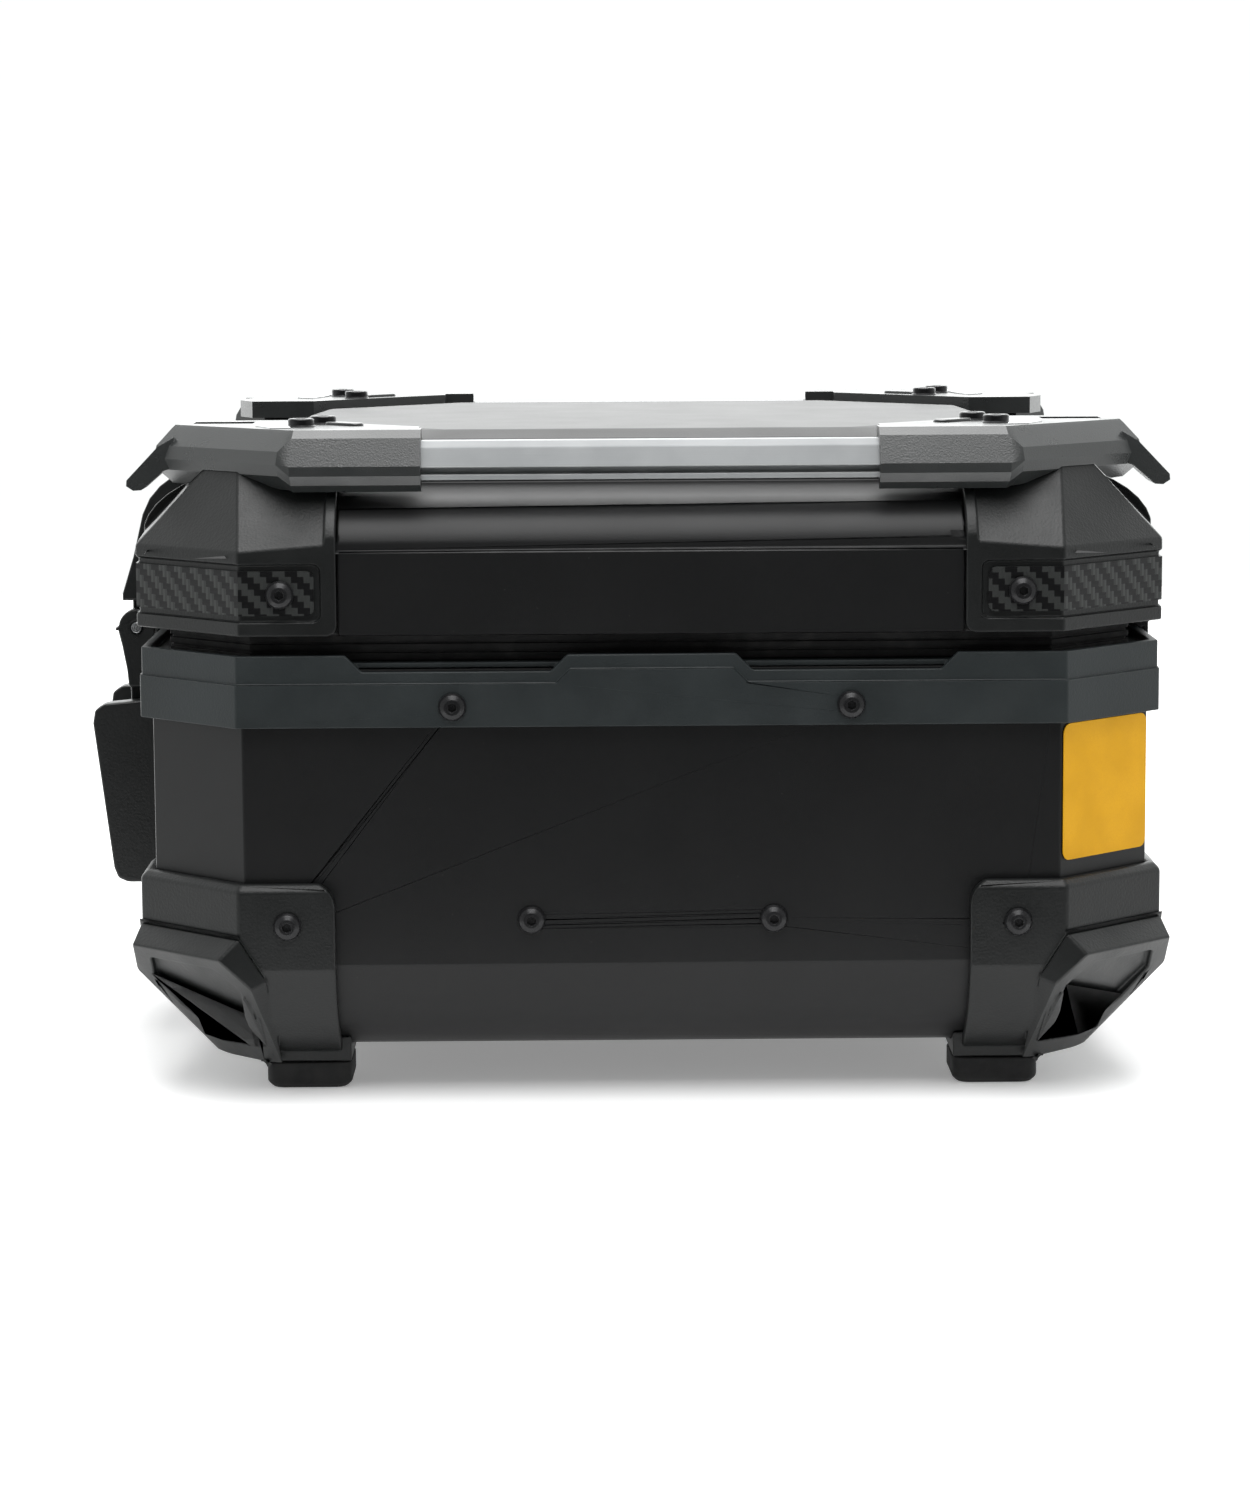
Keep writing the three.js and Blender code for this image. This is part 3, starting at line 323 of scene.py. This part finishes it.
# ---- Shading of the CAD nodes ----
def smoothing_group(angle):
    """Geometry nodes that drop the file's flat normals and smooth every edge under `angle` degrees."""
    tree = bpy.data.node_groups.new(f"smooth_under_{angle}", "GeometryNodeTree")
    tree.interface.new_socket("Geometry", in_out="INPUT", socket_type="NodeSocketGeometry")
    tree.interface.new_socket("Geometry", in_out="OUTPUT", socket_type="NodeSocketGeometry")
    entry = tree.nodes.new("NodeGroupInput")
    leave = tree.nodes.new("NodeGroupOutput")
    drop = tree.nodes.new("GeometryNodeRemoveAttribute")
    drop.inputs["Name"].default_value = "custom_normal"
    edge = tree.nodes.new("GeometryNodeInputMeshEdgeAngle")
    under = tree.nodes.new("FunctionNodeCompare")
    under.operation = "LESS_THAN"
    under.inputs["B"].default_value = math.radians(angle)
    faces = tree.nodes.new("GeometryNodeSetShadeSmooth")
    faces.domain = "FACE"
    edges = tree.nodes.new("GeometryNodeSetShadeSmooth")
    edges.domain = "EDGE"
    tree.links.new(entry.outputs["Geometry"], drop.inputs["Geometry"])
    tree.links.new(drop.outputs["Geometry"], faces.inputs["Geometry"])
    tree.links.new(faces.outputs["Geometry"], edges.inputs["Geometry"])
    tree.links.new(edge.outputs["Unsigned Angle"], under.inputs["A"])
    tree.links.new(under.outputs["Result"], edges.inputs["Shade Smooth"])
    tree.links.new(edges.outputs["Geometry"], leave.inputs["Geometry"])
    return tree


SMOOTH = smoothing_group(SMOOTH_BELOW)


def dress(piece, material, bevel, segments=3, clamped=False, hollow=False):
    """Material, welded and rounded edges, and smooth shading for one piece.

    A hollow piece keeps its flat faces divided. Clamped roundings stop before they meet.
    """
    piece.data.materials.clear()
    piece.data.materials.append(material)
    weld = piece.modifiers.new("weld", "WELD")
    weld.merge_threshold = WELD_DISTANCE
    if not hollow:
        planar = piece.modifiers.new("planar", "DECIMATE")
        planar.decimate_type = "DISSOLVE"
        planar.angle_limit = FLAT_BELOW
    if bevel:
        rounding = piece.modifiers.new("rounding", "BEVEL")
        rounding.width = bevel
        rounding.segments = segments
        rounding.limit_method = "ANGLE"
        rounding.angle_limit = BEVEL_ABOVE
        rounding.use_clamp_overlap = clamped
        rounding.miter_outer = "MITER_ARC"
    smooth = piece.modifiers.new("smooth", "NODES")
    smooth.node_group = SMOOTH
    weighting = piece.modifiers.new("weighting", "WEIGHTED_NORMAL")
    weighting.keep_sharp = True
    weighting.weight = NORMAL_WEIGHT
    return piece


COAT = powder_coat()
# colour, colour of the worn edges, roughness, size of the grain, gloss
RIM = moulded("rim_plastic", (0.0160, 0.0200, 0.0210), (0.06, 0.067, 0.067), 0.45, 0.0007, 0.3)
GUARD = moulded("guard_plastic", (0.0062, 0.0070, 0.0070), (0.05, 0.053, 0.051), 0.42, 0.0008, 0.4)
CORNER = moulded("corner_plastic", (0.020, 0.022, 0.022), (0.08, 0.085, 0.085), 0.30, 0.0005, 0.95)
RAIL = satin_rail()
RUBBER = rubber()
CARBON = carbon_twill()
BLACK_STEEL = steel("black_steel", (0.012, 0.012, 0.013), 0.4, 0.30)
BRIGHT_STEEL = steel("bright_steel", (0.50, 0.51, 0.52), 1.0, 0.25)
AMBER = amber_sheet()
SILVER = steel("silver_inlay", (0.62, 0.63, 0.63), 0.3, 0.40)

# node name prefix: material, edge rounding in metres
DRESSING = {
    "base_shell": (COAT, 0.0012),
    "lid_shell": (COAT, 0.0012),
    "rim_frame": (RIM, 0.0007),
    "rim_seal": (RUBBER, 0.0003),
    "base_guard": (GUARD, 0.0012),
    "lid_guard": (GUARD, 0.0010),
    "lid_lip": (GUARD, 0.0004),
    "lid_trim": (CARBON, 0.0),
    "foot": (RUBBER, 0.0010),
    "panel_screw": (BLACK_STEEL, 0.0003),
    "rim_screw": (BLACK_STEEL, 0.0003),
    "guard_screw": (BLACK_STEEL, 0.0003),
    "trim_screw": (BLACK_STEEL, 0.0003),
    "reflector": (AMBER, 0.0001),
    "rail_corner": (CORNER, 0.0015),
    "rail_bar": (RAIL, 0.0005),
    "latch_housing": (GUARD, 0.0015),
    "lock_cylinder": (BRIGHT_STEEL, 0.0006),
    "lock_bolt": (BRIGHT_STEEL, 0.0004),
    "hasp_bracket": (GUARD, 0.0010),
    "hasp_pin": (BRIGHT_STEEL, 0.0004),
    "hasp": (GUARD, 0.0012),
    "hinge_leaf_base": (BLACK_STEEL, 0.0004),
    "hinge_leaf_lid": (BLACK_STEEL, 0.0004),
    "hinge_pin": (BRIGHT_STEEL, 0.0003),
}


# Their flat faces run round an opening, so they stay divided.
HOLLOW = ("base_shell", "lid_shell", "rim_frame", "rim_seal", "lid_lip")


def dressing_for(node):
    """The longest prefix that fits the node's name."""
    fits = [prefix for prefix in DRESSING if node.startswith(prefix)]
    return DRESSING[max(fits, key=len)]


for node_name, node_object in NODES.items():
    finish, edge_radius = dressing_for(node_name)
    clamped = node_name.startswith("rail_corner")
    hollow = node_name in HOLLOW
    dress(node_object, finish, edge_radius, clamped=clamped, hollow=hollow)


# ---- Small parts on the rail corners, moving with the lid ----
def mesh_object(name, rings, material):
    """A closed shell through rings of equally many points, capped at both ends."""
    mesh = bpy.data.meshes.new(name)
    built = bmesh.new()
    made = [[built.verts.new(point) for point in ring] for ring in rings]
    count = len(rings[0])
    for lower, upper in zip(made, made[1:]):
        for i in range(count):
            j = (i + 1) % count
            built.faces.new((lower[i], lower[j], upper[j], upper[i]))
    built.faces.new(list(reversed(made[0])))
    built.faces.new(made[-1])
    bmesh.ops.recalc_face_normals(built, faces=built.faces)
    built.to_mesh(mesh)
    built.free()
    piece = bpy.data.objects.new(name, mesh)
    bpy.context.scene.collection.objects.link(piece)
    return dress(piece, material, SMALL_BEVEL, segments=2)


def round_ring(x, y, z, radii):
    """Points round an upright axis at a height above the rail, each at its own radius."""
    points = []
    for step, radius in enumerate(radii):
        turn = math.tau * step / len(radii)
        points.append((x + radius * math.cos(turn), y + radius * math.sin(turn), RAIL_TOP + z))
    return points


def hexagon_radii():
    """Distances from the middle of a hexagon to its edge, all the way round."""
    sector = math.tau / 6
    turns = [math.tau * step / SCREW_STEPS for step in range(SCREW_STEPS)]
    return [KEY_HALF / math.cos(turn % sector - sector / 2) for turn in turns]


def socket_screw(name, x, y):
    """A cap screw head on its washer, with a hexagon socket in its top."""
    profile = (
        (WASHER_RADIUS, -SUNK),
        (WASHER_RADIUS, WASHER_HEIGHT),
        (SCREW_RADIUS, SCREW_CHAMFER),
        (SCREW_RADIUS, SCREW_HEIGHT - SCREW_CHAMFER),
        (SCREW_RADIUS - SCREW_CHAMFER, SCREW_HEIGHT),
    )
    rings = [round_ring(x, y, z, [radius] * SCREW_STEPS) for radius, z in profile]
    rings += [round_ring(x, y, z, hexagon_radii()) for z in (SCREW_HEIGHT, KEY_FLOOR)]
    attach(mesh_object(name, rings, BLACK_STEEL), "lid")


def flat_plate(name, outline, height, chamfer, material):
    """A thin plate on the rail's top face, its upper edge drawn in by a chamfer."""
    middle_x = sum(x for x, y in outline) / len(outline)
    middle_y = sum(y for x, y in outline) / len(outline)

    def ring(inset, z):
        points = []
        for x, y in outline:
            out_x = x - middle_x
            out_y = y - middle_y
            keep = 1 - inset / math.hypot(out_x, out_y)
            points.append((middle_x + out_x * keep, middle_y + out_y * keep, RAIL_TOP + z))
        return points

    rings = [ring(0, -PLATE_SUNK), ring(0, height - chamfer), ring(chamfer, height)]
    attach(mesh_object(name, rings, material), "lid")


def boss_outline(x, y):
    """A rounded bar shape lying along the web's 45 degree edge."""
    lean = math.copysign(math.pi / 4, -x * y)
    points = []
    for step in range(BOSS_STEPS):
        turn = math.tau * step / BOSS_STEPS
        along = BOSS_RADIUS * math.cos(turn) + math.copysign(BOSS_HALF, math.cos(turn))
        across = BOSS_RADIUS * math.sin(turn)
        points.append((
            x + along * math.cos(lean) - across * math.sin(lean),
            y + along * math.sin(lean) + across * math.cos(lean),
        ))
    return points


def corner_parts(corner, sign_x, sign_y):
    """The screws, the bright inlay and the boss on one corner's flat top."""
    for number, (x, y) in enumerate(CORNER_SCREWS):
        socket_screw(f"rail_screw_{corner}_{number}", sign_x * x, sign_y * y)
    inlay = [(sign_x * x, sign_y * y) for x, y in INLAY]
    flat_plate(f"rail_inlay_{corner}", inlay, INLAY_HEIGHT, INLAY_CHAMFER, SILVER)
    boss = boss_outline(sign_x * BOSS_AT[0], sign_y * BOSS_AT[1])
    flat_plate(f"rail_boss_{corner}", boss, BOSS_HEIGHT, BOSS_CHAMFER, CORNER)


for corner_name, (side_x, side_y) in QUARTERS.items():
    corner_parts(corner_name, side_x, side_y)


# ---- Stage, light and camera ----
def plain_mesh(name, corners, faces, material):
    """A mesh object from its corners and faces."""
    mesh = bpy.data.meshes.new(name)
    mesh.from_pydata(corners, [], faces)
    mesh.materials.append(material)
    made = bpy.data.objects.new(name, mesh)
    bpy.context.scene.collection.objects.link(made)
    return made


def square_ring(inner, outer):
    """Corners and faces of a level square with a square hole."""
    corners = []
    for half in (inner, outer):
        for sign_x, sign_y in ((-1, -1), (1, -1), (1, 1), (-1, 1)):
            corners.append((sign_x * half, sign_y * half, FLOOR_Z))
    faces = [(side, (side + 1) % 4, (side + 1) % 4 + 4, side + 4) for side in range(4)]
    return corners, faces


def floor():
    """A white floor. Only the part close to the case shows in its gloss."""
    pale = new_material(
        "pale_floor",
        Base_Color=rgb(0.95, 0.95, 0.95),
        Roughness=0.9,
        Specular_IOR_Level=0.1,
        Emission_Color=rgb(1, 1, 1),
        Emission_Strength=FLOOR_GLOW,
    )
    corners, faces = square_ring(NEAR_FLOOR_HALF, FLOOR_HALF)
    near = plain_mesh("near_floor", corners[:4], [(0, 1, 2, 3)], pale)
    far = plain_mesh("far_floor", corners, faces, pale)
    far.visible_glossy = False


def soft_box(name, at, aim, width, length, watts):
    """A rectangular area light at one point, facing another."""
    light = bpy.data.lights.new(name, "AREA")
    light.shape = "RECTANGLE"
    light.size = width
    light.size_y = length
    light.energy = watts
    made = bpy.data.objects.new(name, light)
    made.location = at
    made.rotation_mode = "QUATERNION"
    made.rotation_quaternion = (Vector(aim) - Vector(at)).to_track_quat("-Z", "Y")
    bpy.context.scene.collection.objects.link(made)
    return made


def sky():
    """White surroundings: bright behind and beside the case, dim overhead and towards the viewer."""
    world = bpy.data.worlds.new("studio")
    world.use_nodes = True
    bpy.context.scene.world = world
    direction = add_node(world, "ShaderNodeTexCoord").outputs["Generated"]
    way = add_node(world, "ShaderNodeSeparateXYZ", {0: direction}).outputs
    level = blend_value(world, span(world, way["Y"], 0.3, 0.9), SKY_SIDES, SKY_BEHIND)
    level = blend_value(world, span(world, way["Y"], -0.35, -0.75), level, SKY_VIEWER)
    level = blend_value(world, span(world, way["Z"], 0.45, 0.85), level, SKY_OVERHEAD)
    seen = add_node(world, "ShaderNodeLightPath").outputs["Is Camera Ray"]
    background = world.node_tree.nodes["Background"]
    background.inputs["Color"].default_value = rgb(*SKY_TINT)
    strength = blend_value(world, seen, level, BACKDROP)
    world.node_tree.links.new(strength, background.inputs["Strength"])


def camera():
    """The photograph's viewpoint, as a matrix of its right, up and backward directions."""
    forward = Vector((
        math.sin(CAMERA_YAW) * math.cos(CAMERA_PITCH),
        math.cos(CAMERA_YAW) * math.cos(CAMERA_PITCH),
        math.sin(CAMERA_PITCH),
    ))
    level = forward.cross(Vector((0, 0, 1))).normalized()
    upright = level.cross(forward)
    right = level * math.cos(CAMERA_ROLL) + upright * math.sin(CAMERA_ROLL)
    up = upright * math.cos(CAMERA_ROLL) - level * math.sin(CAMERA_ROLL)
    lens = bpy.data.cameras.new("camera")
    lens.sensor_width = SENSOR_MM
    lens.lens = LENS_MM
    made = bpy.data.objects.new("camera", lens)
    bpy.context.scene.collection.objects.link(made)
    turned = Matrix((right, up, -forward)).transposed().to_4x4()
    made.matrix_world = Matrix.Translation(CAMERA_AT) @ turned
    bpy.context.scene.camera = made


floor()
sky()
soft_box("top_box", **TOP_BOX)
camera()
bpy.context.scene.view_settings.view_transform = "Standard"
